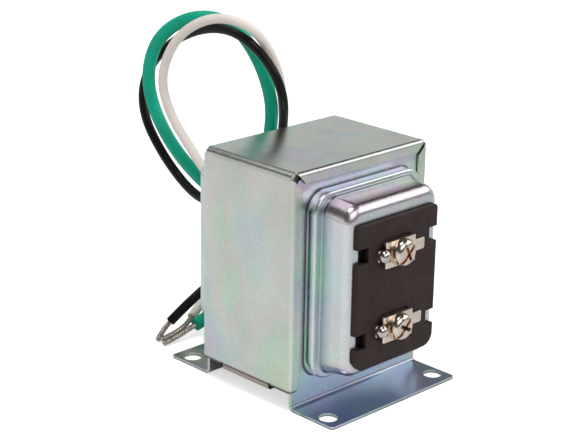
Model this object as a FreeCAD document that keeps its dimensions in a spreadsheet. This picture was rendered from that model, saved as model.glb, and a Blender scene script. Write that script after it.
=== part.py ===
import FreeCAD, Part
import math
import os
import re
import Sketcher

# Frame: millimetres, +Z up, origin midway between the four foot holes on the mounting surface.
# The terminal board faces -Y, and the leads leave the rear cover towards +Y.

# Driving sizes
SIZES = {
    # case wrap, one folded sheet
    "case_width": 51.5,
    "case_depth": 34.9,
    "case_top": 66.5,
    "wall_bottom": 5.7,
    "wrap_sheet": 0.8,
    "flange_inner_bend": 0.3,
    "top_inner_bend": 1.2,
    "side_flange": 3.3,
    "top_flange": 3.2,
    "flange_corner": 2.0,
    "left_mitre_gap": 2.0,
    "right_mitre_gap": 1.1,
    "tab_width": 18.0,
    "tab_length": 7.0,
    "tab_drop": 1.7,
    "relief_width": 0.8,
    "relief_height": 0.5,
    # end covers, deep drawn, with folded feet
    "cover_sheet": 0.8,
    "cover_clearance": 0.4,
    "cover_corner": 4.5,
    "step_side_margin": 5.1,
    "step_top_margin": 5.9,
    "step_bottom_margin": 2.6,
    "step_depth": 3.8,
    "step_corner": 6.0,
    "step_edge": 0.7,
    "step_root": 0.6,
    "cup_side_ledge": 2.4,
    "cup_end_ledge": 1.3,
    "cup_depth": 8.9,
    "cup_corner": 5.0,
    "cup_edge": 3.0,
    "cup_root": 0.5,
    "cup_side_draft": 0.95,
    "cup_end_draft": 1.2,
    "foot_length": 15.5,
    "foot_bend": 1.0,
    "foot_corner": 1.0,
    "foot_hole_edge": 5.05,
    "foot_hole_side": 3.6,
    "foot_hole_diameter": 5.2,
    # terminal board
    "board_side_margin": 1.8,
    "board_top_margin": 4.7,
    "board_bottom_margin": 2.1,
    "board_thickness": 1.5,
    "board_upper_corner": 1.2,
    "board_lower_corner": 3.5,
    "board_chamfer": 2.7,
    "board_edge": 0.3,
    "hook_margin": 8.3,
    "hook_window": 4.1,
    "left_notch": 4.2,
    "right_notch": 3.0,
    "hook_clearance": 0.1,
    "hook_shank": 1.3,
    "hook_barb": 1.8,
    "hook_grip": 0.5,
    "slot_edge": 3.5,
    "boss_width": 14.0,
    "boss_height": 8.0,
    "boss_depth": 3.0,
    "boss_corner": 1.5,
    "boss_clearance": 0.2,
    # screw terminals
    "terminal_top_margin": 9.35,
    "terminal_bottom_margin": 10.15,
    "terminal_offset": -0.5,
    "terminal_sheet": 0.8,
    "terminal_tab": 10.0,
    "terminal_tail": 8.6,
    "terminal_height": 3.2,
    "terminal_pad": 4.2,
    "terminal_pad_height": 6.6,
    "terminal_tab_corner": 0.6,
    "collar_diameter": 5.0,
    "collar_length": 1.4,
    "collar_clearance": 0.05,
    "washer_sheet": 0.9,
    "washer_length": 11.4,
    "washer_waist": 8.2,
    "washer_height": 7.2,
    "washer_notch": 3.8,
    "washer_ear": 0.8,
    "washer_edge": 0.25,
    "screw_diameter": 3.5,
    "screw_length": 6.0,
    "screw_point": 0.5,
    "screw_clearance": 0.2,
    "head_diameter": 7.4,
    "head_height": 2.6,
    "head_round": 1.7,
    "drive_width": 1.0,
    "drive_depth": 1.2,
    "cross_length": 4.4,
    "upper_drive_turn": 25.0,
    "lower_drive_turn": 62.0,
    "solder_place": 6.9,
    "solder_diameter": 3.6,
    "solder_height": 2.3,
    "solder_round": 1.6,
    "coil_wire": 1.0,
    "coil_wire_clearance": 0.1,
    # core and coil
    "core_gap": 0.4,
    "core_back": 9.6,
    "centre_leg": 20.0,
    "window_height": 10.0,
    "coil_gap": 0.15,
    "bobbin_wall": 1.0,
    "winding_recess": 0.9,
    "winding_gap": 0.1,
    "winding_corner": 4.0,
    "tape_thickness": 0.4,
    "secondary_length": 10.6,
    # lead exit and ground bond
    "bushing_height": 41.0,
    "bushing_neck": 5.25,
    "bushing_lip": 1.6,
    "bushing_snap": 0.6,
    "bushing_flange": 1.5,
    "bushing_tail": 1.3,
    "bushing_clearance": 0.05,
    "rivet_drop": 10.6,
    "rivet_diameter": 3.0,
    "rivet_head": 5.2,
    "rivet_head_height": 1.1,
    "rivet_head_round": 0.9,
    "rivet_clearance": 0.05,
    "ground_sheet": 0.8,
    "ground_ring": 6.0,
    "ground_strip": 3.6,
    "ground_barrel_wall": 0.25,
    # free leads
    "lead_diameter": 2.8,
    "ground_lead_diameter": 3.9,
    "conductor_diameter": 1.3,
}

# Places worked out from the driving sizes, as expressions
CASE_HALF = "case_width / 2"
CASE_FACE = "case_depth / 2"
FLANGE_BEND = "flange_inner_bend + wrap_sheet"
TOP_BEND = "top_inner_bend + wrap_sheet"
TAB_UNDERSIDE = "wall_bottom - tab_drop"
COVER_FACE = "case_depth / 2 - wrap_sheet"
CORE_FACE = f"{COVER_FACE} - cover_sheet"
COVER_HALF = f"{CASE_HALF} - wrap_sheet - cover_clearance"
COVER_TOP = "case_top - wrap_sheet - cover_clearance"
STEP_HALF = f"{CASE_HALF} - step_side_margin"
STEP_TOP = "case_top - step_top_margin"
STEP_BOTTOM = "wall_bottom + step_bottom_margin"
STEP_FACE = f"{COVER_FACE} + step_depth"
CUP_HALF = f"{STEP_HALF} - cup_side_ledge"
CUP_TOP = f"{STEP_TOP} - cup_end_ledge"
CUP_BOTTOM = f"{STEP_BOTTOM} + cup_end_ledge"
CUP_FACE = f"{STEP_FACE} + cup_depth"
FRONT_HALF = f"{CUP_HALF} - cup_side_draft"
FRONT_TOP = f"{CUP_TOP} - cup_end_draft"
FRONT_BOTTOM = f"{CUP_BOTTOM} + cup_end_draft"
FOOT_TIP = f"{COVER_FACE} + foot_length"
FOOT_HOLE_X = f"{COVER_HALF} - foot_hole_side"
FOOT_HOLE_Y = f"{FOOT_TIP} - foot_hole_edge"
BOARD_HALF = f"{FRONT_HALF} - board_side_margin"
BOARD_TOP = f"{FRONT_TOP} - board_top_margin"
BOARD_BOTTOM = f"{FRONT_BOTTOM} + board_bottom_margin"
BOARD_FACE = f"{CUP_FACE} + board_thickness"
SLOT_OUTER = f"{FRONT_HALF} - slot_edge"
UPPER_TERMINAL = f"{BOARD_TOP} - terminal_top_margin"
LOWER_TERMINAL = f"{BOARD_BOTTOM} + terminal_bottom_margin"
PLATE_FACE = f"{BOARD_FACE} + terminal_sheet"
WASHER_FACE = f"{PLATE_FACE} + washer_sheet"
CORE_BOTTOM = f"{TAB_UNDERSIDE} + wrap_sheet"
CORE_TOP = "case_top - wrap_sheet - core_gap"
CORE_MIDDLE = f"({CORE_BOTTOM} + {CORE_TOP}) / 2"
CORE_HALF = f"{CASE_HALF} - wrap_sheet - core_gap"
WINDOW_HALF = f"{CORE_HALF} - core_back"
BOBBIN_HALF = f"{WINDOW_HALF} - coil_gap"
TUBE_INNER_Y = f"{CORE_FACE} + coil_gap"
TUBE_INNER_Z = "centre_leg / 2 + coil_gap"
TUBE_OUTER_Y = f"{TUBE_INNER_Y} + bobbin_wall"
TUBE_OUTER_Z = f"{TUBE_INNER_Z} + bobbin_wall"
RIM_Y = f"{CORE_FACE} + window_height - coil_gap"
RIM_Z = "centre_leg / 2 + window_height - coil_gap"
WINDING_Y = f"{RIM_Y} - winding_recess"
WINDING_Z = f"{RIM_Z} - winding_recess"
TAPE_Y = f"{WINDING_Y} + tape_thickness"
TAPE_Z = f"{WINDING_Z} + tape_thickness"
CHAMBER_START = f"{BOBBIN_HALF} - bobbin_wall"
CHAMBER_SPLIT = f"{CHAMBER_START} - secondary_length"
CUP_INSIDE = f"{CUP_FACE} - cover_sheet"

# Each lead's diameter and its place in the bushing, as X and Z from the bushing's middle.
LEADS = {
    "black": ("lead_diameter", -1.9, -1.0),
    "green": ("ground_lead_diameter", 1.9, -0.9),
    "white": ("lead_diameter", -0.6, 1.9),
}
RIVET_X = LEADS["green"][1]
RIVET_Z = "bushing_height - rivet_drop"

doc = FreeCAD.newDocument("doorbell_transformer")
sheet = doc.addObject("Spreadsheet::Sheet", "Sizes")
for row, (alias, value) in enumerate(SIZES.items(), start=1):
    sheet.set(f"A{row}", alias)
    sheet.set(f"B{row}", str(value))
    sheet.setAlias(f"B{row}", alias)
doc.recompute()

pieces = []


def bound(text):
    """The expression with each size named as a cell of the sheet."""
    return re.sub(r"\b([a-z]+_[a-z_]+)\b", r"Sizes.\1", text)


def number(text):
    """The expression's value now."""
    return float(sheet.evalExpression(bound(text)))


def new_body(label):
    body = doc.addObject("PartDesign::Body", label)
    pieces.append(body)
    return body


def origin_plane(body, role):
    return next(feature for feature in body.Origin.OriginFeatures if feature.Role == role)


def new_sketch(body, role, offset="0"):
    """A sketch parallel to an origin plane. XZ has its normal along -Y, YZ along +X."""
    sketch = body.newObject("Sketcher::SketchObject", f"{body.Label}_sketch")
    sketch.AttachmentSupport = [(origin_plane(body, role), "")]
    sketch.MapMode = "FlatFace"
    sketch.setExpression("AttachmentOffset.Base.z", bound(offset))
    return sketch


def pin_point(sketch, geometry, end, x, y):
    """Ties one end of a line, or the centre of a circle, to two expressions."""
    for kind, text in (("DistanceX", x), ("DistanceY", y)):
        index = sketch.addConstraint(Sketcher.Constraint(kind, -1, 1, geometry, end, number(text)))
        sketch.setExpression(f"Constraints[{index}]", bound(text))


def step_towards(corner, target):
    """Unit step along X or Y from a corner to its neighbour on an outline with right-angled corners."""
    run_x = number(target[0]) - number(corner[0])
    run_y = number(target[1]) - number(corner[1])
    if abs(run_x) > abs(run_y):
        return int(math.copysign(1, run_x)), 0
    return 0, int(math.copysign(1, run_y))


def moved(corner, step, distance):
    return f"{corner[0]} + {step[0]} * ({distance})", f"{corner[1]} + {step[1]} * ({distance})"


def flat_vector(place):
    """A point of a sketch, from two expressions."""
    return FreeCAD.Vector(number(place[0]), number(place[1]), 0)


def corner_steps(corners, index):
    """Unit steps from a corner back to the one before it and ahead to the one after it."""
    corner = corners[index]
    return step_towards(corner, corners[index - 1]), step_towards(corner, corners[(index + 1) % len(corners)])


def corner_ends(corners, index):
    """Where the line before a corner stops and the line after it starts."""
    corner = corners[index]
    if len(corner) == 2:
        return corner, corner
    back, ahead = corner_steps(corners, index)
    return moved(corner, back, corner[2]), moved(corner, ahead, corner[2])


def corner_arc(sketch, corners, index):
    """The quarter arc of a rounded corner."""
    corner = corners[index]
    back, ahead = corner_steps(corners, index)
    centre = moved(moved(corner, back, corner[2]), ahead, corner[2])
    circle = Part.Circle(flat_vector(centre), FreeCAD.Vector(0, 0, 1), number(corner[2]))
    first, last = (math.atan2(-step[1], -step[0]) for step in (back, ahead))
    if (last - first) % (2 * math.pi) > math.pi:
        return sketch.addGeometry(Part.ArcOfCircle(circle, last, first))
    return sketch.addGeometry(Part.ArcOfCircle(circle, first, last))


def arc_ends_from(sketch, arc, place):
    """The numbers of the arc's end at the place and of its other end."""
    target = flat_vector(place)
    start = sketch.Geometry[arc].StartPoint
    end = sketch.Geometry[arc].EndPoint
    return (1, 2) if start.distanceToPoint(target) < end.distanceToPoint(target) else (2, 1)


def outline(sketch, corners):
    """A closed outline. Each corner is (x, y), or (x, y, radius) where a right angle is rounded."""
    ends = [corner_ends(corners, index) for index in range(len(corners))]
    lines = []
    for index, (_, leave) in enumerate(ends):
        arrive = ends[(index + 1) % len(ends)][0]
        lines.append(sketch.addGeometry(Part.LineSegment(flat_vector(leave), flat_vector(arrive))))
        pin_point(sketch, lines[-1], 1, *leave)
    for index, corner in enumerate(corners):
        before = lines[index - 1]
        after = lines[index]
        if len(corner) == 2:
            sketch.addConstraint(Sketcher.Constraint("Coincident", before, 2, after, 1))
            continue
        arc = corner_arc(sketch, corners, index)
        arrive = ends[index][0]
        first_end, last_end = arc_ends_from(sketch, arc, arrive)
        pin_point(sketch, before, 2, *arrive)
        sketch.addConstraint(Sketcher.Constraint("Coincident", before, 2, arc, first_end))
        sketch.addConstraint(Sketcher.Constraint("Coincident", after, 1, arc, last_end))
        radius = sketch.addConstraint(Sketcher.Constraint("Radius", arc, number(corner[2])))
        sketch.setExpression(f"Constraints[{radius}]", bound(corner[2]))


def rectangle(sketch, left, right, low, high, radius=None):
    corners = [(left, low), (right, low), (right, high), (left, high)]
    if radius is not None:
        corners = [(*corner, radius) for corner in corners]
    outline(sketch, corners)


def circle(sketch, x, y, diameter):
    geometry = sketch.addGeometry(
        Part.Circle(flat_vector((x, y)), FreeCAD.Vector(0, 0, 1), number(diameter) / 2)
    )
    pin_point(sketch, geometry, 3, x, y)
    index = sketch.addConstraint(Sketcher.Constraint("Diameter", geometry, number(diameter)))
    sketch.setExpression(f"Constraints[{index}]", bound(diameter))


def extrude(body, kind, sketch, length, side="One side", backwards=False):
    """A Pad along the sketch's normal, or a Pocket against it, unless backwards."""
    feature = body.newObject(f"PartDesign::{kind}", f"{body.Label}_{kind.lower()}")
    feature.Profile = sketch
    feature.SideType = side
    feature.Reversed = backwards
    feature.setExpression("Length", bound(length))
    return feature


def pad(body, sketch, length, **options):
    return extrude(body, "Pad", sketch, length, **options)


def pocket(body, sketch, length, **options):
    """A Pocket that has to take material away."""
    doc.recompute()
    before = body.Shape.Volume
    feature = extrude(body, "Pocket", sketch, length, **options)
    doc.recompute()
    if body.Shape.Volume > before - 1e-6:
        raise RuntimeError(f"{feature.Name} cuts nothing")
    return feature


def mirrored(body, features, role):
    """The features again, on the other side of an origin plane."""
    feature = body.newObject("PartDesign::Mirrored", f"{body.Label}_mirrored")
    feature.Originals = features
    feature.MirrorPlane = (origin_plane(body, role), [""])
    body.Tip = feature
    return feature


def dressed(body, kind, size_name, size, chosen):
    """A Fillet or a Chamfer on the edges whose bounding box passes the test."""
    doc.recompute()
    base = body.Tip
    names = [f"Edge{i}" for i, edge in enumerate(base.Shape.Edges, start=1) if chosen(edge.BoundBox)]
    feature = body.newObject(f"PartDesign::{kind}", f"{body.Label}_{kind.lower()}")
    feature.Base = (base, names)
    feature.setExpression(size_name, bound(size))


def rounded(body, radius, chosen):
    dressed(body, "Fillet", "Radius", radius, chosen)


def chamfered(body, size, chosen):
    dressed(body, "Chamfer", "Size", size, chosen)


def near(value, text):
    return abs(value - number(text)) < 1e-4


def flat_at(low, high, text):
    """Whether an edge's extent along one axis is the single value of the expression."""
    return near(low, text) and near(high, text)


# Case wrap


def arch(body, half, top, bend):
    """A sketch of a section from the wall's bottom up, with its two upper corners rounded."""
    sketch = new_sketch(body, "XZ_Plane")
    outline(
        sketch,
        [
            (f"-({half})", "wall_bottom"),
            (half, "wall_bottom"),
            (half, top, bend),
            (f"-({half})", top, bend),
        ],
    )
    return sketch


def make_case_wrap():
    body = new_body("case_wrap")
    pad(body, arch(body, CASE_HALF, "case_top", TOP_BEND), "case_depth", side="Symmetric")
    inner_y = f"{CASE_FACE} - wrap_sheet"
    hollow = arch(body, f"{CASE_HALF} - wrap_sheet", "case_top - wrap_sheet", "top_inner_bend")
    pocket(body, hollow, f"2 * ({inner_y})", side="Symmetric")

    def fold_at(depth):
        """A test for the edges round the front and the rear face, but for those at the bottom."""
        above = number("wall_bottom") + number("wrap_sheet")
        return lambda box: flat_at(abs(box.YMin), abs(box.YMax), depth) and box.ZMax > above

    rounded(body, FLANGE_BEND, fold_at(CASE_FACE))
    rounded(body, "flange_inner_bend", fold_at(inner_y))

    mouth = new_sketch(body, "XZ_Plane")
    mouth_half = f"{CASE_HALF} - side_flange"
    rectangle(mouth, f"-({mouth_half})", mouth_half, "0", "case_top - top_flange")
    pocket(body, mouth, "case_depth", side="Symmetric")

    # The mitred corners of the front flanges stand open along the diagonal, and so do the rear ones.
    mitre = new_sketch(body, "XZ_Plane", CASE_FACE)
    reach = "side_flange + wrap_sheet"
    for side, gap in ((-1, "left_mitre_gap"), (1, "right_mitre_gap")):
        offset = f"{gap} * sqrt(2) / 2"
        outline(
            mitre,
            [
                (f"{side} * ({CASE_HALF} + {gap})", f"case_top + {gap} - {offset}"),
                (f"{side} * ({CASE_HALF} + {gap} - {offset})", f"case_top + {gap}"),
                (f"{side} * ({CASE_HALF} - ({reach}) - {offset})", f"case_top - ({reach})"),
                (f"{side} * ({CASE_HALF} - ({reach}))", f"case_top - ({reach}) - {offset}"),
            ],
        )
    corners = pocket(body, mitre, FLANGE_BEND)
    mirrored(body, [corners], "XZ_Plane")

    def flange_end(box):
        across = near(abs(box.XMin), mouth_half) and near(abs(box.XMax), mouth_half)
        return across and flat_at(box.ZMin, box.ZMax, "wall_bottom")

    rounded(body, "flange_corner", flange_end)

    # Tabs of the side walls, folded hard round the core's corners, with relief notches at their ends.
    tab = new_sketch(body, "XZ_Plane")
    root = "wall_bottom + relief_height"
    outline(
        tab,
        [
            (CASE_HALF, root),
            (f"{CASE_HALF} - wrap_sheet", root),
            (f"{CASE_HALF} - wrap_sheet", CORE_BOTTOM, "core_gap"),
            (f"{CASE_HALF} - tab_length", CORE_BOTTOM),
            (f"{CASE_HALF} - tab_length", TAB_UNDERSIDE),
            (CASE_HALF, TAB_UNDERSIDE, "core_gap + wrap_sheet"),
        ],
    )
    right_tab = pad(body, tab, "tab_width", side="Symmetric")
    mirrored(body, [right_tab], "YZ_Plane")
    relief = new_sketch(body, "YZ_Plane")
    for side in (-1, 1):
        near_end = f"{side} * tab_width / 2"
        far_end = f"{side} * (tab_width / 2 + relief_width)"
        rectangle(relief, near_end, far_end, TAB_UNDERSIDE, root)
    pocket(body, relief, "case_width", side="Symmetric")


# End covers


def cup_outline(body, offset, half, low, high, corner, inset):
    sketch = new_sketch(body, "XZ_Plane", offset)
    rectangle(
        sketch,
        f"-({half} - {inset})",
        f"{half} - {inset}",
        f"{low} + {inset}",
        f"{high} - {inset}",
        f"{corner} - {inset}",
    )
    return sketch


def loft(body, kind, profile, section):
    feature = body.newObject(f"PartDesign::{kind}", f"{body.Label}_loft")
    feature.Profile = profile
    feature.Sections = [section]
    feature.Ruled = True
    return feature


def root_edge(depth, half, low, high):
    """A test for the edges at a depth that lie on an outline of the cover's drawn form, or inside it."""
    slack = 1e-4

    def test(box):
        across = max(-box.XMin, box.XMax) < number(half) + slack
        upright = box.ZMin > number(low) - slack and box.ZMax < number(high) + slack
        return flat_at(-box.YMax, -box.YMin, depth) and across and upright

    return test


def make_cover(label, cut_openings):
    """A cover drawn at the front. The rear one is turned half way round afterwards."""
    body = new_body(label)
    base = cup_outline(body, CORE_FACE, STEP_HALF, STEP_BOTTOM, STEP_TOP, "step_corner", "0")
    pad(body, base, "step_depth + cover_sheet")
    cup_base = cup_outline(body, STEP_FACE, CUP_HALF, CUP_BOTTOM, CUP_TOP, "cup_corner", "0")
    cup_end = cup_outline(body, CUP_FACE, FRONT_HALF, FRONT_BOTTOM, FRONT_TOP, "cup_corner", "0")
    loft(body, "AdditiveLoft", cup_base, cup_end)

    # The flange and the foot are one strip, folded once along the mounting surface.
    strip = new_sketch(body, "YZ_Plane")
    outline(
        strip,
        [
            (f"-({CORE_FACE})", COVER_TOP),
            (f"-({COVER_FACE})", COVER_TOP),
            (f"-({COVER_FACE})", "cover_sheet", "foot_bend"),
            (f"-({FOOT_TIP})", "cover_sheet"),
            (f"-({FOOT_TIP})", "0"),
            (f"-({CORE_FACE})", "0", "foot_bend + cover_sheet"),
        ],
    )
    pad(body, strip, f"2 * ({COVER_HALF})", side="Symmetric")

    def upper_corner(box):
        return flat_at(box.ZMin, box.ZMax, COVER_TOP) and box.XLength < 1e-4

    rounded(body, "cover_corner", upper_corner)
    rounded(body, "step_root", root_edge(COVER_FACE, STEP_HALF, STEP_BOTTOM, STEP_TOP))
    rounded(body, "cup_root", root_edge(STEP_FACE, CUP_HALF, CUP_BOTTOM, CUP_TOP))

    # The drawing leaves one wall thickness all the way in.
    mouth = cup_outline(body, CORE_FACE, STEP_HALF, STEP_BOTTOM, STEP_TOP, "step_corner", "cover_sheet")
    pocket(body, mouth, "step_depth", backwards=True)
    well_base = cup_outline(
        body, f"{STEP_FACE} - cover_sheet", CUP_HALF, CUP_BOTTOM, CUP_TOP, "cup_corner", "cover_sheet"
    )
    well_end = cup_outline(
        body, CUP_INSIDE, FRONT_HALF, FRONT_BOTTOM, FRONT_TOP, "cup_corner", "cover_sheet"
    )
    loft(body, "SubtractiveLoft", well_base, well_end)
    rounded(body, "cup_edge - cover_sheet", lambda box: flat_at(-box.YMax, -box.YMin, CUP_INSIDE))
    rounded(body, "cup_edge", lambda box: flat_at(-box.YMax, -box.YMin, CUP_FACE))

    def step_rim(box):
        at_face = flat_at(-box.YMax, -box.YMin, STEP_FACE)
        across = near(max(-box.XMin, box.XMax), STEP_HALF)
        return at_face and (across or near(box.ZMax, STEP_TOP) or near(box.ZMin, STEP_BOTTOM))

    rounded(body, "step_edge", step_rim)

    holes = new_sketch(body, "XY_Plane")
    for side in (-1, 1):
        circle(holes, f"{side} * ({FOOT_HOLE_X})", f"-({FOOT_HOLE_Y})", "foot_hole_diameter")
    pocket(body, holes, "cover_sheet", backwards=True)

    def foot_end(box):
        return flat_at(-box.YMax, -box.YMin, FOOT_TIP) and box.XLength < 1e-4

    rounded(body, "foot_corner", foot_end)
    cut_openings(body)
    return body


def hook_heights():
    """Expressions for the middles of the lower and the upper hooks."""
    return [f"{BOARD_BOTTOM} + hook_margin", f"{BOARD_TOP} - hook_margin"]


def hook_sides():
    """For each side, its sign and the depth of its notches in the board."""
    return [(-1, "left_notch"), (1, "right_notch")]


def cut_front_openings(body):
    """Slots for the board's hooks and windows for its bosses."""
    slots = new_sketch(body, "XZ_Plane", CUP_FACE)
    for middle in hook_heights():
        for side, notch in hook_sides():
            inner = f"{BOARD_HALF} - {notch} - hook_shank - hook_clearance"
            rectangle(
                slots,
                f"{side} * ({inner})",
                f"{side} * ({SLOT_OUTER})",
                f"{middle} - hook_window / 2",
                f"{middle} + hook_window / 2",
            )
    pocket(body, slots, "cover_sheet")
    windows = new_sketch(body, "XZ_Plane", CUP_FACE)
    for middle in (LOWER_TERMINAL, UPPER_TERMINAL):
        rectangle(
            windows,
            "terminal_offset - boss_width / 2 - boss_clearance",
            "terminal_offset + boss_width / 2 + boss_clearance",
            f"{middle} - boss_height / 2 - boss_clearance",
            f"{middle} + boss_height / 2 + boss_clearance",
            "boss_corner + boss_clearance",
        )
    pocket(body, windows, "cover_sheet")


def cut_rear_openings(body):
    """Holes for the lead bushing and the ground rivet, on the cover before it is turned round."""
    holes = new_sketch(body, "XZ_Plane", CUP_FACE)
    circle(holes, "0", "bushing_height", "2 * (bushing_neck + bushing_clearance)")
    circle(holes, f"-({RIVET_X})", RIVET_Z, "rivet_diameter + 2 * rivet_clearance")
    pocket(body, holes, "cover_sheet")


def make_covers():
    make_cover("front_cover", cut_front_openings)
    rear = make_cover("rear_cover", cut_rear_openings)
    rear.Placement = FreeCAD.Placement(FreeCAD.Vector(), FreeCAD.Rotation(FreeCAD.Vector(0, 0, 1), 180))


# Terminal board


def board_side(side, notch):
    """The corners of one notched edge of the board, from the bottom up."""
    edge = f"{side} * ({BOARD_HALF})"
    inner = f"{side} * ({BOARD_HALF} - {notch})"
    corners = []
    for middle in hook_heights():
        low = f"{middle} - hook_window / 2"
        high = f"{middle} + hook_window / 2"
        corners += [(edge, low), (inner, low), (inner, high), (edge, high)]
    return corners


def make_terminal_board():
    body = new_body("terminal_board")
    plate = new_sketch(body, "XZ_Plane", CUP_FACE)
    (left, left_notch), (right, right_notch) = hook_sides()
    outline(
        plate,
        [
            (f"-({BOARD_HALF}) + board_chamfer", BOARD_BOTTOM),
            (BOARD_HALF, BOARD_BOTTOM, "board_lower_corner"),
            *board_side(right, right_notch),
            (BOARD_HALF, BOARD_TOP, "board_upper_corner"),
            (f"-({BOARD_HALF})", BOARD_TOP, "board_upper_corner"),
            *reversed(board_side(left, left_notch)),
            (f"-({BOARD_HALF})", f"{BOARD_BOTTOM} + board_chamfer"),
        ],
    )
    pad(body, plate, "board_thickness")
    rounded(body, "board_edge", lambda box: flat_at(-box.YMax, -box.YMin, BOARD_FACE))

    bosses = new_sketch(body, "XZ_Plane", CUP_FACE)
    for middle in (LOWER_TERMINAL, UPPER_TERMINAL):
        rectangle(
            bosses,
            "terminal_offset - boss_width / 2",
            "terminal_offset + boss_width / 2",
            f"{middle} - boss_height / 2",
            f"{middle} + boss_height / 2",
            "boss_corner",
        )
    pad(body, bosses, "boss_depth", backwards=True)

    # Each hook has its shank behind the notch's inner wall, and a barb that grips the edge of its slot.
    shank_tip = f"{CUP_INSIDE} - hook_clearance - hook_barb"
    for middle in hook_heights():
        hooks = new_sketch(body, "XY_Plane", middle)
        for side, notch in hook_sides():
            wall = f"{BOARD_HALF} - {notch}"
            outline(
                hooks,
                [
                    (f"{side} * ({wall} - hook_shank)", f"-({CUP_FACE})"),
                    (f"{side} * ({wall})", f"-({CUP_FACE})"),
                    (f"{side} * ({wall})", f"-({CUP_INSIDE} - hook_clearance)"),
                    (f"{side} * ({SLOT_OUTER} + hook_grip)", f"-({CUP_INSIDE} - hook_clearance)"),
                    (f"{side} * ({wall})", f"-({shank_tip})"),
                    (f"{side} * ({wall} - hook_shank)", f"-({shank_tip})"),
                ],
            )
        pad(body, hooks, "hook_window - 2 * hook_clearance", side="Symmetric")

    holes = new_sketch(body, "XZ_Plane", CUP_FACE)
    for middle in (LOWER_TERMINAL, UPPER_TERMINAL):
        circle(holes, "terminal_offset", middle, "collar_diameter + 2 * collar_clearance")
        circle(holes, "-solder_place", middle, "coil_wire + 2 * coil_wire_clearance")
    pocket(body, holes, "2 * (boss_depth + board_thickness)", side="Symmetric")


# Screw terminals, each made round its own height and lifted to its place


def lift(body, height):
    body.setExpression("Placement.Base.z", bound(height))


def make_terminal_plate(label, height):
    body = new_body(label)
    lift(body, height)
    strip = new_sketch(body, "XZ_Plane", BOARD_FACE)
    half = "terminal_height / 2"
    wide = "terminal_pad_height / 2"
    pad_left = "terminal_offset - terminal_pad"
    pad_right = "terminal_offset + terminal_pad"
    outline(
        strip,
        [
            ("-terminal_tail", f"-({half})", "terminal_tab_corner"),
            (pad_left, f"-({half})"),
            (pad_left, f"-({wide})"),
            (pad_right, f"-({wide})"),
            (pad_right, f"-({half})"),
            ("terminal_tab + terminal_offset", f"-({half})", "terminal_tab_corner"),
            ("terminal_tab + terminal_offset", half, "terminal_tab_corner"),
            (pad_right, half),
            (pad_right, wide),
            (pad_left, wide),
            (pad_left, half),
            ("-terminal_tail", half, "terminal_tab_corner"),
        ],
    )
    pad(body, strip, "terminal_sheet")
    collar = new_sketch(body, "XZ_Plane", BOARD_FACE)
    circle(collar, "terminal_offset", "0", "collar_diameter")
    pad(body, collar, "collar_length", backwards=True)
    bores = new_sketch(body, "XZ_Plane", BOARD_FACE)
    circle(bores, "terminal_offset", "0", "screw_diameter")
    circle(bores, "-solder_place", "0", "coil_wire + 2 * coil_wire_clearance")
    pocket(body, bores, "2 * (collar_length + terminal_sheet)", side="Symmetric")


def make_clamp_washer(label, height):
    body = new_body(label)
    lift(body, height)
    plate = new_sketch(body, "XZ_Plane", PLATE_FACE)
    long_half, waist, tall, notch = (
        f"{size} / 2" for size in ("washer_length", "washer_waist", "washer_height", "washer_notch")
    )
    right = [(long_half, tall), (long_half, notch), (waist, notch)]
    right += [(x, f"-({y})") for x, y in reversed(right)]
    left = [(f"-({x})", y) for x, y in reversed(right)]
    outline(plate, [(f"terminal_offset + {x}", y) for x, y in right + left])
    pad(body, plate, "washer_sheet")

    # The four ears turn down beside the strip and stop just clear of the board.
    ears = new_sketch(body, "XZ_Plane", PLATE_FACE)
    for side in (-1, 1):
        for end in (-1, 1):
            rectangle(
                ears,
                f"terminal_offset + {side} * ({long_half} - washer_ear)",
                f"terminal_offset + {side} * ({long_half})",
                f"{end} * ({notch})",
                f"{end} * ({tall})",
            )
    pad(body, ears, "terminal_sheet - screw_clearance", backwards=True)

    def ear_bend(box):
        outer = near(abs(box.XMin - number("terminal_offset")), long_half) and box.XLength < 1e-4
        return outer and flat_at(-box.YMax, -box.YMin, WASHER_FACE)

    rounded(body, "washer_ear - washer_edge", ear_bend)
    hole = new_sketch(body, "XZ_Plane", PLATE_FACE)
    circle(hole, "terminal_offset", "0", "screw_diameter + 2 * screw_clearance")
    pocket(body, hole, "washer_sheet", backwards=True)


def turned_bar(sketch, length, width, turn):
    """A bar across the screw's axis, turned by the angle in degrees."""
    along = (f"cos({turn} * 1deg)", f"sin({turn} * 1deg)")
    corners = []
    for end, side in ((-1, -1), (1, -1), (1, 1), (-1, 1)):
        x = f"terminal_offset + {end} * {length} / 2 * {along[0]} - {side} * {width} / 2 * {along[1]}"
        y = f"{end} * {length} / 2 * {along[1]} + {side} * {width} / 2 * {along[0]}"
        corners.append((x, y))
    outline(sketch, corners)


def make_terminal_screw(label, height, drive_turn):
    body = new_body(label)
    lift(body, height)
    shank = new_sketch(body, "XZ_Plane", WASHER_FACE)
    circle(shank, "terminal_offset", "0", "screw_diameter")
    pad(body, shank, "screw_length", backwards=True)
    head = new_sketch(body, "XZ_Plane", WASHER_FACE)
    circle(head, "terminal_offset", "0", "head_diameter")
    pad(body, head, "head_height")
    rounded(body, "head_round", lambda box: flat_at(-box.YMax, -box.YMin, f"{WASHER_FACE} + head_height"))
    tip = f"{WASHER_FACE} - screw_length"
    chamfered(body, "screw_point", lambda box: flat_at(-box.YMax, -box.YMin, tip))
    slot = new_sketch(body, "XZ_Plane", f"{WASHER_FACE} + head_height")
    turned_bar(slot, "head_diameter + drive_width", "drive_width", drive_turn)
    pocket(body, slot, "drive_depth")
    cross = new_sketch(body, "XZ_Plane", f"{WASHER_FACE} + head_height")
    turned_bar(cross, "cross_length", "drive_width", f"({drive_turn} + 90)")
    pocket(body, cross, "drive_depth + drive_width / 2")


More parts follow.
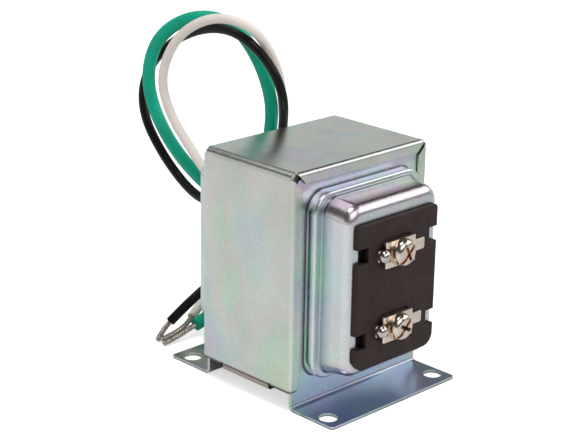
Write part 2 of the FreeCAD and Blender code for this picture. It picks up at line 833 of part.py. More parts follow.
def make_solder_joint(label, height):
    body = new_body(label)
    lift(body, height)
    dome = new_sketch(body, "XZ_Plane", PLATE_FACE)
    circle(dome, "-solder_place", "0", "solder_diameter")
    pad(body, dome, "solder_height")
    top = f"{PLATE_FACE} + solder_height"
    rounded(body, "solder_round", lambda box: flat_at(-box.YMax, -box.YMin, top))


def make_coil_lead(label, height):
    """An end of the secondary winding, straight from the coil's face to the solder."""
    body = new_body(label)
    lift(body, height)
    wire = new_sketch(body, "XZ_Plane", TAPE_Y)
    circle(wire, "-solder_place", "0", "coil_wire")
    pad(body, wire, f"{PLATE_FACE} - ({TAPE_Y})")


def make_terminals():
    for level, height in (("upper", UPPER_TERMINAL), ("lower", LOWER_TERMINAL)):
        make_terminal_plate(f"{level}_terminal_plate", height)
        make_clamp_washer(f"{level}_clamp_washer", height)
        make_terminal_screw(f"{level}_terminal_screw", height, f"{level}_drive_turn")
        make_solder_joint(f"{level}_solder_joint", height)
        make_coil_lead(f"{level}_coil_lead", height)


# Core and coil


def make_core():
    stack = f"2 * ({CORE_FACE})"
    e_body = new_body("core_e_laminations")
    e_sketch = new_sketch(e_body, "XZ_Plane")
    outer_leg = f"{CORE_MIDDLE} + centre_leg / 2 + window_height"
    lower_leg = f"{CORE_MIDDLE} - centre_leg / 2 - window_height"
    outline(
        e_sketch,
        [
            (f"-({CORE_HALF})", CORE_BOTTOM),
            (WINDOW_HALF, CORE_BOTTOM),
            (WINDOW_HALF, lower_leg),
            (f"-({WINDOW_HALF})", lower_leg),
            (f"-({WINDOW_HALF})", f"{CORE_MIDDLE} - centre_leg / 2"),
            (WINDOW_HALF, f"{CORE_MIDDLE} - centre_leg / 2"),
            (WINDOW_HALF, f"{CORE_MIDDLE} + centre_leg / 2"),
            (f"-({WINDOW_HALF})", f"{CORE_MIDDLE} + centre_leg / 2"),
            (f"-({WINDOW_HALF})", outer_leg),
            (WINDOW_HALF, outer_leg),
            (WINDOW_HALF, CORE_TOP),
            (f"-({CORE_HALF})", CORE_TOP),
        ],
    )
    pad(e_body, e_sketch, stack, side="Symmetric")
    i_body = new_body("core_i_laminations")
    i_sketch = new_sketch(i_body, "XZ_Plane")
    rectangle(i_sketch, WINDOW_HALF, CORE_HALF, CORE_BOTTOM, CORE_TOP)
    pad(i_body, i_sketch, stack, side="Symmetric")


def coil_rectangle(sketch, half_y, half_z, radius=None):
    rectangle(
        sketch, f"-({half_y})", half_y, f"{CORE_MIDDLE} - ({half_z})", f"{CORE_MIDDLE} + {half_z}", radius
    )


def make_bobbin():
    """A spool with two chambers on the core's centre leg."""
    body = new_body("coil_bobbin")
    block = new_sketch(body, "YZ_Plane")
    coil_rectangle(block, RIM_Y, RIM_Z)
    coil_rectangle(block, TUBE_INNER_Y, TUBE_INNER_Z)
    pad(body, block, f"2 * ({BOBBIN_HALF})", side="Symmetric")
    chambers = (
        (f"-({CHAMBER_START})", "secondary_length"),
        (f"-({CHAMBER_SPLIT}) + bobbin_wall", f"{CHAMBER_START} + {CHAMBER_SPLIT} - bobbin_wall"),
    )
    for start, length in chambers:
        ring = new_sketch(body, "YZ_Plane", start)
        coil_rectangle(ring, f"{RIM_Y} + bobbin_wall", f"{RIM_Z} + bobbin_wall")
        coil_rectangle(ring, TUBE_OUTER_Y, TUBE_OUTER_Z)
        pocket(body, ring, length, backwards=True)


def make_coil_layer(label, start, length, inner, outer, inner_corner, outer_corner):
    """A ring round the bobbin's tube: a winding, or the tape over it."""
    body = new_body(label)
    ring = new_sketch(body, "YZ_Plane", f"{start} + winding_gap")
    coil_rectangle(ring, *outer, outer_corner)
    coil_rectangle(ring, *inner, inner_corner)
    pad(body, ring, f"{length} - 2 * winding_gap")


def make_coil():
    make_bobbin()
    tube = (f"{TUBE_OUTER_Y} + winding_gap", f"{TUBE_OUTER_Z} + winding_gap")
    winding = (WINDING_Y, WINDING_Z)
    tape = (TAPE_Y, TAPE_Z)
    primary_length = f"{CHAMBER_START} + {CHAMBER_SPLIT} - bobbin_wall"
    chambers = (
        ("secondary", f"-({CHAMBER_START})", "secondary_length"),
        ("primary", f"-({CHAMBER_SPLIT}) + bobbin_wall", primary_length),
    )
    for name, start, length in chambers:
        make_coil_layer(f"{name}_winding", start, length, tube, winding, None, "winding_corner")
        tape_corner = "winding_corner + tape_thickness"
        make_coil_layer(f"{name}_tape", start, length, winding, tape, "winding_corner", tape_corner)


# Lead exit and ground bond, on the rear cover


def make_bushing():
    """A snap bushing: an outer flange, a neck through the cover, a snap ring and a bore for each lead."""
    body = new_body("lead_bushing")
    layers = (
        (f"-({CUP_FACE})", "bushing_flange", "bushing_neck + bushing_lip", True),
        (f"-({CUP_FACE})", "cover_sheet", "bushing_neck", False),
        (f"-({CUP_INSIDE})", "bushing_tail", "bushing_neck + bushing_snap", False),
    )
    for offset, length, radius, outwards in layers:
        layer = new_sketch(body, "XZ_Plane", offset)
        circle(layer, "0", "bushing_height", f"2 * ({radius})")
        pad(body, layer, length, backwards=outwards)
    face = f"{CUP_FACE} + bushing_flange"
    rounded(body, "bushing_flange / 2", lambda box: flat_at(box.YMin, box.YMax, face))
    tail = f"{CUP_INSIDE} - bushing_tail"
    rounded(body, "bushing_snap", lambda box: flat_at(box.YMin, box.YMax, tail))
    bores = new_sketch(body, "XZ_Plane", f"-({CUP_FACE})")
    for diameter, x, z in LEADS.values():
        circle(bores, f"{x}", f"bushing_height + {z}", diameter)
    pocket(body, bores, f"2 * ({CUP_FACE})", side="Symmetric")


def make_ground_terminal():
    """A terminal crimped on the green lead and riveted to the inside of the rear cover, below the bushing."""
    body = new_body("ground_terminal")
    diameter, lead_x, lead_z = LEADS["green"]
    barrel_height = f"bushing_height + {lead_z}"
    barrel_end = f"{CUP_INSIDE} - bushing_tail - winding_gap"

    # The strip runs down from the barrel past the bushing's snap ring, then joggles out to the cover.
    strip = new_sketch(body, "YZ_Plane", f"{lead_x}")
    joggle = "bushing_height - bushing_neck - bushing_snap - winding_gap"
    outline(
        strip,
        [
            (f"{barrel_end} - ground_sheet", barrel_height),
            (f"{barrel_end} - ground_sheet", f"{joggle} - ground_sheet"),
            (f"{CUP_INSIDE} - ground_sheet", f"{joggle} - ground_sheet"),
            (f"{CUP_INSIDE} - ground_sheet", RIVET_Z),
            (CUP_INSIDE, RIVET_Z),
            (CUP_INSIDE, joggle),
            (barrel_end, joggle),
            (barrel_end, barrel_height),
        ],
    )
    pad(body, strip, "ground_strip", side="Symmetric")
    ring = new_sketch(body, "XZ_Plane", f"-({CUP_INSIDE})")
    circle(ring, f"{RIVET_X}", RIVET_Z, "ground_ring")
    pad(body, ring, "ground_sheet")
    barrel = new_sketch(body, "XZ_Plane", f"-({barrel_end})")
    circle(barrel, f"{lead_x}", barrel_height, f"{diameter} + 2 * ground_barrel_wall")
    pad(body, barrel, f"{barrel_end} - ({TAPE_Y}) - winding_gap")
    bores = new_sketch(body, "XZ_Plane", f"-({CUP_FACE})")
    circle(bores, f"{lead_x}", barrel_height, diameter)
    circle(bores, f"{RIVET_X}", RIVET_Z, "rivet_diameter + 2 * rivet_clearance")
    pocket(body, bores, f"2 * ({CUP_FACE})", side="Symmetric")


def make_ground_rivet():
    body = new_body("ground_rivet")
    inner_face = f"{CUP_INSIDE} - ground_sheet"
    shank = new_sketch(body, "XZ_Plane", f"-({CUP_FACE})")
    circle(shank, f"{RIVET_X}", RIVET_Z, "rivet_diameter")
    pad(body, shank, "cover_sheet + ground_sheet")
    for offset, outwards in ((CUP_FACE, True), (inner_face, False)):
        head = new_sketch(body, "XZ_Plane", f"-({offset})")
        circle(head, f"{RIVET_X}", RIVET_Z, "rivet_head")
        pad(body, head, "rivet_head_height", backwards=outwards)
    ends = (f"{CUP_FACE} + rivet_head_height", f"{inner_face} - rivet_head_height")
    rounded(
        body,
        "rivet_head_round",
        lambda box: any(flat_at(box.YMin, box.YMax, end) for end in ends),
    )


# Free leads, each a tube along straight runs and arcs, with its stripped conductor

LEAD_RUN_OUT = 38.0
CORNER_SHARE = 0.45
VOLUME_TOLERANCE = 0.01

# Each lead's points after it has come straight out of the bushing, chosen by hand.
LEAD_ROUTES = {
    "black": [
        (0, 50.5, 39), (1, 65.5, 47.5), (3, 78, 58.5), (6, 80, 70.5), (7, 66.5, 83.5),
        (8.5, 47.5, 90), (10, 33, 85), (13, 26, 73.5), (20, 33.5, 58), (18, 36, 40),
        (11, 38.5, 26), (1, 39.5, 17), (-10.5, 41.5, 10), (-15.5, 43.5, 5),
    ],
    "green": [
        (1, 53, 46), (0.5, 66, 56.5), (0.5, 73, 70), (3, 70.5, 83.5), (8, 60, 91), (13.5, 48.5, 90),
        (17, 41, 80), (19.5, 37.5, 67), (18.5, 37.5, 56), (17, 40.5, 38), (12, 43, 22),
        (5, 42.5, 10.5), (-2, 39.5, 5), (-9, 39.5, 3.5),
    ],
    "white": [
        (-1, 49.5, 52.5), (-2.5, 59, 63.5), (-3, 62, 74.5), (-1.5, 55.5, 87.5), (3, 44.5, 94),
        (10, 35.5, 91), (17, 33, 79.5), (21.5, 35, 66), (24, 37.5, 56), (24.5, 43, 40),
        (20.5, 47.5, 25), (12, 49, 14), (2, 47, 8), (-7.5, 43, 4.5),
    ],
}
# Each conductor goes on from the end of its lead, first in the same direction.
CONDUCTOR_ROUTES = {
    "black": [(-15.5, 43.5, 5), (-17.5, 44.3, 3), (-20.8, 42.8, 1)],
    "green": [(-9, 39.5, 3.5), (-11.8, 39.5, 2.9), (-16.4, 39.7, 1.5), (-21.1, 39.7, 1)],
    "white": [(-7.5, 43, 4.5), (-10.35, 41.8, 3.45), (-15.4, 41.3, 2), (-20.6, 41.2, 1.6)],
}


def rounded_path(points):
    """A wire of straight runs with tangent arcs at the corners, and the arcs' radii."""
    edges = []
    radii = []
    leave = points[0]
    for before, corner, after in zip(points, points[1:], points[2:]):
        back = before - corner
        ahead = after - corner
        reach = CORNER_SHARE * min(back.Length, ahead.Length)
        back.normalize()
        ahead.normalize()
        half_turn = (math.pi - back.getAngle(ahead)) / 2
        radius = reach / math.tan(half_turn)
        inwards = back + ahead
        inwards.normalize()
        middle = corner + inwards * (radius / math.cos(half_turn) - radius)
        arrive = corner + back * reach
        edges.append(Part.LineSegment(leave, arrive).toShape())
        leave = corner + ahead * reach
        edges.append(Part.Arc(arrive, middle, leave).toShape())
        radii.append(round(radius, 1))
    edges.append(Part.LineSegment(leave, points[-1]).toShape())
    return Part.Wire(edges), radii


def make_tube(label, points, diameter):
    path, radii = rounded_path(points)
    end = Part.makeCircle(diameter / 2, points[0], points[1] - points[0])
    tube = path.makePipeShell([Part.Wire([end])], True, False)
    expected = math.pi * diameter**2 / 4 * path.Length
    if abs(tube.Volume - expected) > VOLUME_TOLERANCE * expected:
        raise RuntimeError(f"{label} has the volume {tube.Volume:.1f}, not {expected:.1f}")
    print(f"{label}: length {path.Length:.1f}, arc radii {radii}")
    item = doc.addObject("Part::Feature", label)
    item.Shape = tube
    pieces.append(item)


def make_leads():
    for name, (diameter, x, z) in LEADS.items():
        height = number("bushing_height") + z
        exit_points = [(x, number(RIM_Y), height), (x, LEAD_RUN_OUT, height)]
        route = [FreeCAD.Vector(*point) for point in exit_points + LEAD_ROUTES[name]]
        make_tube(f"{name}_lead", route, number(diameter))
        bare_route = [FreeCAD.Vector(*point) for point in CONDUCTOR_ROUTES[name]]
        make_tube(f"{name}_conductor", bare_route, number("conductor_diameter"))


make_case_wrap()
make_covers()
make_terminal_board()
make_terminals()
make_core()
make_coil()
make_bushing()
make_ground_terminal()
make_ground_rivet()
make_leads()

doc.recompute()
for item in doc.Objects:
    if "Invalid" in item.State or "Error" in item.State:
        raise RuntimeError(f"{item.Name} failed: {item.State}")
for piece in pieces:
    if piece.Shape.isNull() or not piece.Shape.isValid():
        raise RuntimeError(f"{piece.Label} has no valid shape")

os.makedirs("parts", exist_ok=True)
for piece in pieces:
    piece.Shape.exportStep(f"parts/{piece.Label}.step")
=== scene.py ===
import math

import bmesh
import bpy
from mathutils import Matrix, Vector


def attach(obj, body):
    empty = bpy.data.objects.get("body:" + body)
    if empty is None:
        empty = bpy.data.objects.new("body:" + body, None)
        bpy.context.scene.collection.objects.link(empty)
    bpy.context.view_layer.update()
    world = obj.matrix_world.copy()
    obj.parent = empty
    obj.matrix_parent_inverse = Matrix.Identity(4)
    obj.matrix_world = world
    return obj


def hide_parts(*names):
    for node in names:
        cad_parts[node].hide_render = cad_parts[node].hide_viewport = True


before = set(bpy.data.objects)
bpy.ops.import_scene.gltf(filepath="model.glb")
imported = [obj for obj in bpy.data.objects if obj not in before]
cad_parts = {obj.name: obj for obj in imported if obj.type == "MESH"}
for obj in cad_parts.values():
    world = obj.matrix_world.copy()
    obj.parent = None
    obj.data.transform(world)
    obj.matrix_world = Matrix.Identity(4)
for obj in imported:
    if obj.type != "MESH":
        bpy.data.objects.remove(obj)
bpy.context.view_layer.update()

MM = 0.001

# Camera, fitted to the straight edges of the case
VIEW_AZIMUTH = math.radians(-44.87)
VIEW_ELEVATION = math.radians(18.84)
VIEW_ROLL = math.radians(1.09)
VIEW_DISTANCE = 433.6 * MM
VIEW_TARGET = Vector((-14.23, -6.16, 48.95)) * MM
VIEW_LENS = 99.83
SENSOR_WIDTH = 36

# Leads: the bushing's outer face, then diameter and route of each, as in part.py, in millimetres
LEADS = {
    "black": (2.8, [
        (-1.9, 25.7, 40), (-1.9, 38, 40),
        (0, 50.5, 39), (1, 65.5, 47.5), (3, 78, 58.5), (6, 80, 70.5), (7, 66.5, 83.5),
        (8.5, 47.5, 90), (10, 33, 85), (13, 26, 73.5), (20, 33.5, 58), (18, 36, 40),
        (11, 38.5, 26), (1, 39.5, 17), (-10.5, 41.5, 10), (-15.5, 43.5, 5),
    ]),
    "green": (3.9, [
        (1.9, 25.7, 40.1), (1.9, 38, 40.1),
        (1, 53, 46), (0.5, 66, 56.5), (0.5, 73, 70), (3, 70.5, 83.5), (8, 60, 91), (13.5, 48.5, 90),
        (17, 41, 80), (19.5, 37.5, 67), (18.5, 37.5, 56), (17, 40.5, 38), (12, 43, 22),
        (5, 42.5, 10.5), (-2, 39.5, 5), (-9, 39.5, 3.5),
    ]),
    "white": (2.8, [
        (-0.6, 25.7, 42.9), (-0.6, 38, 42.9),
        (-1, 49.5, 52.5), (-2.5, 59, 63.5), (-3, 62, 74.5), (-1.5, 55.5, 87.5), (3, 44.5, 94),
        (10, 35.5, 91), (17, 33, 79.5), (21.5, 35, 66), (24, 37.5, 56), (24.5, 43, 40),
        (20.5, 47.5, 25), (12, 49, 14), (2, 47, 8), (-7.5, 43, 4.5),
    ]),
}
# Routes of the stripped ends, which go on from the leads' ends
CONDUCTORS = {
    "black": [(-15.5, 43.5, 5), (-17.5, 44.3, 3), (-20.8, 42.8, 1)],
    "green": [(-9, 39.5, 3.5), (-11.8, 39.5, 2.9), (-16.4, 39.7, 1.5), (-21.1, 39.7, 1)],
    "white": [(-7.5, 43, 4.5), (-10.35, 41.8, 3.45), (-15.4, 41.3, 2), (-20.6, 41.2, 1.6)],
}
# Strands of a stripped end: the ring is that of their middles, and the pitch is the length of one turn
STRAND_COUNT = 7
STRAND_RADIUS = 0.3
STRAND_RING = 0.52
STRAND_PITCH = 7.0


# Node helpers


PLAIN = (1.0, 1.0, 1.0)
# The mix node has several inputs of one name, so its colour inputs and output go by number
MIX_FACTOR = 0
MIX_FIRST = 6
MIX_SECOND = 7
MIX_RESULT = 2


def full_colour(value):
    """Red, green, blue and alpha from a colour or a grey."""
    rgb = value if isinstance(value, tuple) else (value, value, value)
    return (*rgb, 1)


def set_input(tree, socket, value):
    """Links a socket from another one, or sets its value. Colour sockets take a colour or a grey."""
    if isinstance(value, bpy.types.NodeSocket):
        tree.links.new(value, socket)
    elif socket.type == "RGBA":
        socket.default_value = full_colour(value)
    else:
        socket.default_value = value


def add_node(tree, kind, inputs=None, **settings):
    """A shader node. Each input is a value, or a socket to link from."""
    node = tree.nodes.new(kind)
    for name, value in settings.items():
        setattr(node, name, value)
    for name, value in (inputs or {}).items():
        set_input(tree, node.inputs[name], value)
    return node


def connect(tree, shader, **inputs):
    """Values or sockets for the shader's inputs, with underscores for the spaces in their names."""
    for name, value in inputs.items():
        set_input(tree, shader.inputs[name.replace("_", " ")], value)


def new_material(name):
    """A new material with its node tree and its shader."""
    material = bpy.data.materials.new(name)
    material.use_nodes = True
    return material, material.node_tree, material.node_tree.nodes["Principled BSDF"]


def grain(tree, size, detail=3.0, roughness=0.55, distortion=0.0):
    """Noise in the object's own space. The size in millimetres is one number, or one for each axis."""
    sizes = size if isinstance(size, tuple) else (size, size, size)
    place = add_node(tree, "ShaderNodeTexCoord")
    scaled = add_node(
        tree,
        "ShaderNodeMapping",
        {"Vector": place.outputs["Object"], "Scale": tuple(1 / (MM * s) for s in sizes)},
    )
    noise = add_node(
        tree,
        "ShaderNodeTexNoise",
        {
            "Vector": scaled.outputs["Vector"],
            "Scale": 1.0,
            "Detail": detail,
            "Roughness": roughness,
            "Distortion": distortion,
        },
    )
    return noise.outputs["Fac"]


def ramp(tree, factor, stops):
    """Colours or greys along a factor. Each stop is a place from 0 to 1 and a colour or a grey."""
    node = add_node(tree, "ShaderNodeValToRGB", {"Fac": factor})
    elements = node.color_ramp.elements
    while len(elements) < len(stops):
        elements.new(0.5)
    for element, (place, colour) in zip(elements, stops):
        element.position = place
        element.color = full_colour(colour)
    return node.outputs["Color"]


def spread(tree, factor, low, high):
    """The middle part of a factor, where most of a noise lies, stretched to run from low to high."""
    node = add_node(
        tree,
        "ShaderNodeMapRange",
        {"Value": factor, "From Min": 0.3, "From Max": 0.7, "To Min": low, "To Max": high},
    )
    return node.outputs["Result"]


def blend(tree, factor, first, second, how="MIX"):
    """Two colours or greys mixed by a factor."""
    node = add_node(
        tree,
        "ShaderNodeMix",
        {MIX_FACTOR: factor, MIX_FIRST: first, MIX_SECOND: second},
        data_type="RGBA",
        blend_type=how,
    )
    return node.outputs[MIX_RESULT]


def relief(tree, height, depth, before=None):
    """A bump of the given depth in millimetres, on top of an earlier normal if there is one."""
    inputs = {"Height": height, "Distance": depth * MM, "Strength": 1.0}
    if before is not None:
        inputs["Normal"] = before
    return add_node(tree, "ShaderNodeBump", inputs).outputs["Normal"]


def soft_edge(tree, radius):
    """The normal with sharp edges shaded as if rounded to the radius in millimetres."""
    return add_node(tree, "ShaderNodeBevel", {"Radius": radius * MM}, samples=6).outputs["Normal"]


def facing(tree):
    """How far the surface faces along each axis, either way, from 0 to 1."""
    normal = add_node(tree, "ShaderNodeNewGeometry").outputs["Normal"]
    size = add_node(tree, "ShaderNodeVectorMath", {0: normal}, operation="ABSOLUTE")
    return add_node(tree, "ShaderNodeSeparateXYZ", {"Vector": size.outputs["Vector"]}).outputs


def bend_mask(tree, faces):
    """0 on the flat faces along the axes, 1 on the bends and the rounded corners."""
    largest = faces["X"]
    for axis in ("Y", "Z"):
        node = add_node(tree, "ShaderNodeMath", {0: largest, 1: faces[axis]}, operation="MAXIMUM")
        largest = node.outputs["Value"]
    mask = add_node(
        tree,
        "ShaderNodeMapRange",
        {"Value": largest, "From Min": 0.985, "From Max": 0.9, "To Min": 0.0, "To Max": 1.0},
    )
    return mask.outputs["Result"]


def place_ramp(tree, axis, stops):
    """Colours or greys by the place along an axis. Each stop is a place in millimetres and a colour."""
    low = stops[0][0]
    high = stops[-1][0]
    place = add_node(tree, "ShaderNodeTexCoord")
    axes = add_node(tree, "ShaderNodeSeparateXYZ", {"Vector": place.outputs["Object"]})
    share = add_node(
        tree,
        "ShaderNodeMapRange",
        {"Value": axes.outputs[axis], "From Min": low * MM, "From Max": high * MM},
    )
    return ramp(tree, share.outputs["Result"], [((at - low) / (high - low), tint) for at, tint in stops])


def painted_crevice_shade(tree, reach, stops):
    """Painted shade: colours or greys by how open the surface is within the reach in millimetres, from 0 to
    1.
    """
    node = add_node(tree, "ShaderNodeAmbientOcclusion", {"Distance": reach * MM}, samples=8)
    return ramp(tree, node.outputs["AO"], stops)


# Zinc plate


GREEN_GREY = (0.71, 0.91, 0.76)
YELLOW_GREEN = (0.80, 0.91, 0.71)
PALE_GREY = (0.78, 0.88, 0.82)
PINK_GREY = (0.85, 0.84, 0.81)
BLUE_GREY = (0.72, 0.84, 0.87)
LILAC = (0.82, 0.81, 0.89)
STEEL_BLUE = (0.72, 0.82, 0.91)
TEAL_GREY = (0.72, 0.86, 0.84)
WRAP_TINTS = [YELLOW_GREEN, GREEN_GREY, PINK_GREY, PALE_GREY, BLUE_GREY, LILAC, GREEN_GREY]
COVER_TINTS = [TEAL_GREY, GREEN_GREY, BLUE_GREY, LILAC, PALE_GREY, STEEL_BLUE]
BEND_TINT = (0.9, 0.92, 0.92)

# Tint layers of the wrap, which multiply its streaks: painted light on its top, and painted shade on the fold
# and root of the tabs and towards the top of the walls
WRAP_TOP_PAINTED_LIGHT = (1.0, 1.01, 1.02)
WRAP_HIGH_PAINTED_SHADE = (0.9, 0.88, 0.86)
TAB_FOLD_PAINTED_SHADE = (0.70, 0.55, 0.53)
TAB_ROOT_PAINTED_SHADOW = (0.23, 0.17, 0.17)

# Tint layers of the front cover, which multiply its streaks: painted light on the tops, a painted highlight
# on the step's top, painted reflection on the feet, painted shade at the roots, and a lilac tint on the
# flange over the step
STEP_PAINTED_HIGHLIGHT = (1.1, 1.08, 1.12)
CUP_TOP_PAINTED_LIGHT = (1.12, 0.89, 1.02)
FOOT_TOP_PAINTED_REFLECTION = (0.48, 0.53, 0.72)
CUP_SIDE_PAINTED_SHADE = (0.42, 0.56, 0.6)
ROOT_PAINTED_SHADE = (0.24, 0.22, 0.26)
HIGH_FLANGE = (0.92, 0.82, 0.95)

# Places as in part.py, in millimetres: along Y, where the front cover's step and cup begin, and heights
STEP_ROOT = -16.65
CUP_ROOT = -20.45
CASE_BOTTOM = 5.7
STEP_HEIGHT = 60.6
CASE_TOP = 66.5


def foot_mask(tree):
    """1 on the feet, 0 on what stands above them."""
    return place_ramp(tree, "Z", [(2.0, 1.0), (6.0, 0.0)])


def wrap_painted_light(tree, faces):
    """Painted light of the wrap: a tint on its top, and by height painted shade on the fold and root of the
    tabs and on the upper part.
    """
    # Painted shade by height: dark on the tabs' fold and at their root, and darker towards the top of the
    # walls
    heights = place_ramp(tree, "Z", [
        (CASE_BOTTOM - 0.2, TAB_FOLD_PAINTED_SHADE),
        (CASE_BOTTOM + 0.05, TAB_ROOT_PAINTED_SHADOW),
        (CASE_BOTTOM + 0.35, TAB_ROOT_PAINTED_SHADOW),
        (CASE_BOTTOM + 0.65, PLAIN),
        (CASE_BOTTOM + 4.3, PLAIN),
        (CASE_TOP - 0.5, WRAP_HIGH_PAINTED_SHADE),
    ])
    # Painted light: the tops get a tint of their own
    return [blend(tree, faces["Z"], PLAIN, WRAP_TOP_PAINTED_LIGHT), heights]


def front_tints_and_painted_light(tree, faces):
    """Tints of the front cover: painted light on the tops of step, cup and foot, painted shade at the roots,
    and a lilac tint on the flange over the step.
    """
    foot = foot_mask(tree)
    # Upward faces along Y: painted light on the cup's top, a painted shade line at the cup's root, and a
    # painted highlight on the step's top
    tops = place_ramp(tree, "Y", [
        (CUP_ROOT - 1.0, CUP_TOP_PAINTED_LIGHT),
        (CUP_ROOT - 0.6, ROOT_PAINTED_SHADE),
        (CUP_ROOT - 0.12, ROOT_PAINTED_SHADE),
        (CUP_ROOT + 0.1, STEP_PAINTED_HIGHLIGHT),
    ])
    # Painted shade on the cup's sides, darkest at their root
    sides = place_ramp(tree, "Y", [
        (CUP_ROOT - 4.0, PLAIN),
        (CUP_ROOT - 0.1, CUP_SIDE_PAINTED_SHADE),
        (CUP_ROOT + 0.1, PLAIN),
    ])
    # Painted shade line at the step's root
    step_root_painted_shade = place_ramp(tree, "Y", [
        (STEP_ROOT - 0.9, PLAIN),
        (STEP_ROOT - 0.585, ROOT_PAINTED_SHADE),
        (STEP_ROOT - 0.09, ROOT_PAINTED_SHADE),
        (STEP_ROOT, PLAIN),
    ])
    return [
        # Painted reflection on the feet's tops
        blend(tree, faces["Z"], PLAIN, blend(tree, foot, tops, FOOT_TOP_PAINTED_REFLECTION)),
        blend(tree, faces["X"], PLAIN, sides),
        blend(tree, foot, step_root_painted_shade, PLAIN),
        place_ramp(tree, "Z", [(STEP_HEIGHT + 0.2, PLAIN), (STEP_HEIGHT + 1.0, HIGH_FLANGE)]),
    ]


def no_film(tree, faces):
    """The rear cover has the plate's own tints alone."""
    return []


def zinc_colour(tree, tints, streak, film, bend):
    """Soft streaks of several tints, paler on the bends, mottled, with the tint layers from film, which are
    mostly painted light and shade, and painted shade where the surface is shut in.
    """
    broad = spread(tree, grain(tree, streak, detail=2.0, distortion=0.4), 0.0, 1.0)
    colour = ramp(tree, broad, [(i / (len(tints) - 1), tint) for i, tint in enumerate(tints)])
    colour = blend(tree, spread(tree, bend, 0.0, 0.6), colour, BEND_TINT)
    layers = [
        spread(tree, grain(tree, 12.0, detail=4.0), 0.93, 1.05),
        spread(tree, grain(tree, 0.4, detail=2.0), 0.9, 1.06),
        *film,
        # Painted shade in creases, corners and gaps
        painted_crevice_shade(tree, 1.3, [(0.55, 0.12), (0.75, 1.0)]),
    ]
    for layer in layers:
        colour = blend(tree, 1.0, colour, layer, "MULTIPLY")
    return colour


def zinc_roughness(tree, faces, bend):
    """Smoothest on the case's sides, duller on tops, fronts, bends and feet."""
    roughness = spread(tree, grain(tree, (1.5, 1.5, 6.0)), 0.1, 0.18)
    for mask, level in ((faces["Z"], 0.22), (faces["Y"], 0.32), (bend, 0.26), (foot_mask(tree), 0.3)):
        roughness = blend(tree, mask, roughness, level)
    return roughness


def zinc_normal(tree, bend):
    """Softened edges, slow waves, a fine grain, and a crazed film on the bends."""
    waves = relief(tree, grain(tree, 14.0, detail=1.0), 0.06, soft_edge(tree, 0.3))
    fine = relief(tree, grain(tree, 0.5, detail=2.0), 0.0014, waves)
    crazed = blend(tree, bend, 0.5, grain(tree, 0.4, detail=2.0))
    return relief(tree, crazed, 0.035, fine)


def zinc_material(name, tints, streak, film):
    """Bright zinc plate with the streaked tints of its passivation film. Film is a function that gives
    further tint layers, mostly painted light and shade by place and facing.
    """
    material, tree, shader = new_material(name)
    faces = facing(tree)
    bend = bend_mask(tree, faces)
    connect(
        tree,
        shader,
        Base_Color=zinc_colour(tree, tints, streak, film(tree, faces), bend),
        Metallic=1.0,
        Roughness=zinc_roughness(tree, faces, bend),
        Normal=zinc_normal(tree, bend),
    )
    return material


# Other materials


BOARD_LIGHT = (0.041, 0.025, 0.024)
BOARD_DARK = (0.030, 0.018, 0.017)
# Painted shade and reflection: the brown in the corners of plated parts
RIM_BROWN_PAINTED_SHADE_REFLECTION = (0.6, 0.45, 0.34)


def board_material():
    """Dark moulded plastic with a fine matt grain, and painted shade in its corners."""
    material, tree, shader = new_material("board_plastic")
    colour = ramp(tree, grain(tree, 6.0, detail=4.0), [(0.3, BOARD_DARK), (0.7, BOARD_LIGHT)])
    # Painted shade in the corners
    colour = blend(tree, 1.0, colour, painted_crevice_shade(tree, 3.0, [(0.3, 0.1), (0.75, 1.0)]), "MULTIPLY")
    roughness = spread(tree, grain(tree, 2.0), 0.42, 0.58)
    normal = relief(tree, grain(tree, 0.25, detail=2.0), 0.01)
    connect(tree, shader, Base_Color=colour, Roughness=roughness, Normal=normal, Specular_IOR_Level=0.25)
    return material


def plated_material(name, light, dark, rough):
    """Plated small hardware, a little uneven in colour and polish, with painted brown shade and reflection in
    its corners.
    """
    material, tree, shader = new_material(name)
    colour = ramp(tree, grain(tree, 1.6, detail=4.0), [(0.3, dark), (0.65, light)])
    # Painted brown shade and reflection in the corners
    shade = painted_crevice_shade(tree, 1.6, [(0.3, RIM_BROWN_PAINTED_SHADE_REFLECTION), (0.8, PLAIN)])
    colour = blend(tree, 1.0, colour, shade, "MULTIPLY")
    roughness = spread(tree, grain(tree, 0.8), rough, rough + 0.12)
    normal = relief(tree, grain(tree, 0.5, detail=2.0), 0.008)
    connect(tree, shader, Base_Color=colour, Metallic=1.0, Roughness=roughness, Normal=normal)
    return material


def insulation_material(name, light, dark, rough):
    """Extruded insulation with a soft sheen and a slightly uneven skin."""
    material, tree, shader = new_material(name)
    colour = ramp(tree, grain(tree, 5.0), [(0.3, dark), (0.7, light)])
    roughness = spread(tree, grain(tree, 1.2), rough, rough + 0.12)
    normal = relief(tree, grain(tree, 0.7), 0.012)
    connect(tree, shader, Base_Color=colour, Roughness=roughness, Normal=normal, Specular_IOR_Level=0.3)
    return material


def plain_material(name, light, dark, rough, size):
    """Inner pieces: a mottled colour with a fine grain."""
    material, tree, shader = new_material(name)
    colour = ramp(tree, grain(tree, size, detail=4.0), [(0.3, dark), (0.7, light)])
    normal = relief(tree, grain(tree, 0.4, detail=2.0), 0.01)
    connect(tree, shader, Base_Color=colour, Roughness=rough, Normal=normal)
    return material


